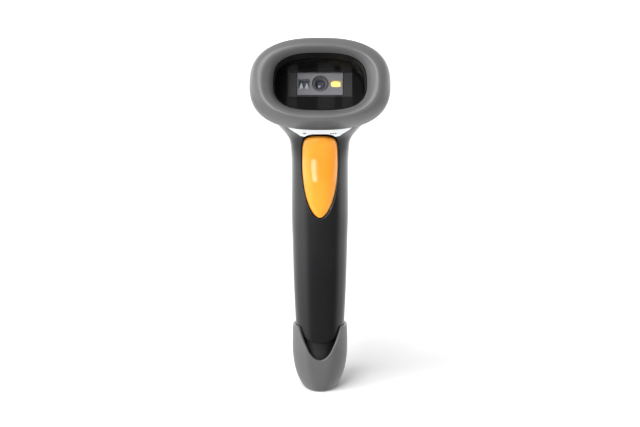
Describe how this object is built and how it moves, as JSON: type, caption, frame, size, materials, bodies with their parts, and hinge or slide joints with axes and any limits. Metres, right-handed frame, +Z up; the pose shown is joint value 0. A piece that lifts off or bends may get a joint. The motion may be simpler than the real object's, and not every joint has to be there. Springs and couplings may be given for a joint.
{
  "type": "handheld barcode scanner",
  "caption": "Handheld barcode scanner with a tilted oval head in a rubber bumper, a pistol grip with a finger trigger, and a rubber foot it stands on.",
  "frame": {"origin": "middle of the bounding box in plan, on the surface the foot stands on", "axes": "+Z up, -Y towards the side that the scan window faces, +X along the width of the scanner, to the right of a viewer who faces the window"},
  "size_m": [0.0684, 0.0926, 0.1815],
  "materials": {
    "bumper_rubber": "matte",
    "housing_black": "high gloss",
    "inner_black": "matte",
    "trigger_orange": "satin",
    "window_tinted": "polished",
    "label_white": "matte film",
    "engine_grey": "matte",
    "lens_glass": "coated",
    "clear_plastic": "polished",
    "led_yellow": "translucent",
    "flat_cable": "film",
    "circuit_board": "solder mask",
    "chip_black": "moulded",
    "steel": "plated",
    "cell_sleeve": "shrink film",
    "wire_red": "satin",
    "wire_black": "satin",
    "foam": "foam",
    "plunger_white": "matte"
  },
  "bodies": {
    "handset": {"front_shell": "housing_black", "rear_shell": "housing_black", "front_bumper": "bumper_rubber", "scan_window": "window_tinted", "window_gasket": "foam", "window_frame": "inner_black", "engine_bracket": "inner_black", "engine_plate": "engine_grey", "engine_housing": "engine_grey", "camera_barrel": "inner_black", "camera_lens": "lens_glass", "aimer_lens": "clear_plastic", "light_lens": "led_yellow", "engine_board": "circuit_board", "engine_cable": "flat_cable", "main_board": "circuit_board", "processor_chip": "chip_black", "radio_module": "steel", "sounder": "chip_black", "status_lens": "clear_plastic", "rating_label": "label_white", "trigger_pin": "steel", "trigger_spring": "steel", "trigger_switch": "chip_black", "trigger_board": "circuit_board", "switch_carrier": "inner_black", "battery_cell": "cell_sleeve", "battery_cradle": "inner_black", "battery_lead_red": "wire_red", "battery_lead_black": "wire_black", "charge_cable": "wire_black", "end_cap": "inner_black", "end_cap_screw": "steel", "charge_board": "circuit_board", "usb_socket": "steel", "foot_boot": "bumper_rubber", "engine_screw_left": "steel", "board_screw_left": "steel", "carrier_screw_left": "steel", "housing_screw_left": "steel", "engine_screw_right": "steel", "board_screw_right": "steel", "carrier_screw_right": "steel", "housing_screw_right": "steel"},
    "trigger": {"trigger": "trigger_orange"},
    "plunger": {"switch_plunger": "plunger_white"},
    "flap": {"port_flap": "bumper_rubber"}
  },
  "joints": [
    {"name": "trigger_press", "type": "hinge", "parent": "handset", "child": "trigger", "pos_m": [0, -0.00662, 0.09544], "axis": [-1, 0, 0], "range_deg": [0, 2.5], "stiffness_Nm_per_rad": 0.4, "springref_deg": -2.86, "deforming": ["trigger_spring"]},
    {"name": "plunger_travel", "type": "slide", "parent": "handset", "child": "plunger", "axis": [0, 0.9962, -0.0872], "range_m": [0, 0.0008]},
    {"name": "flap_open", "type": "hinge", "parent": "handset", "child": "flap", "pos_m": [0, 0.0159, 0.01327], "axis": [-1, 0, 0], "range_deg": [0, 95]}
  ],
  "couplings": [
    {"joint": "plunger_travel", "follows": "trigger_press", "m_per_rad": 0.0157}
  ]
}
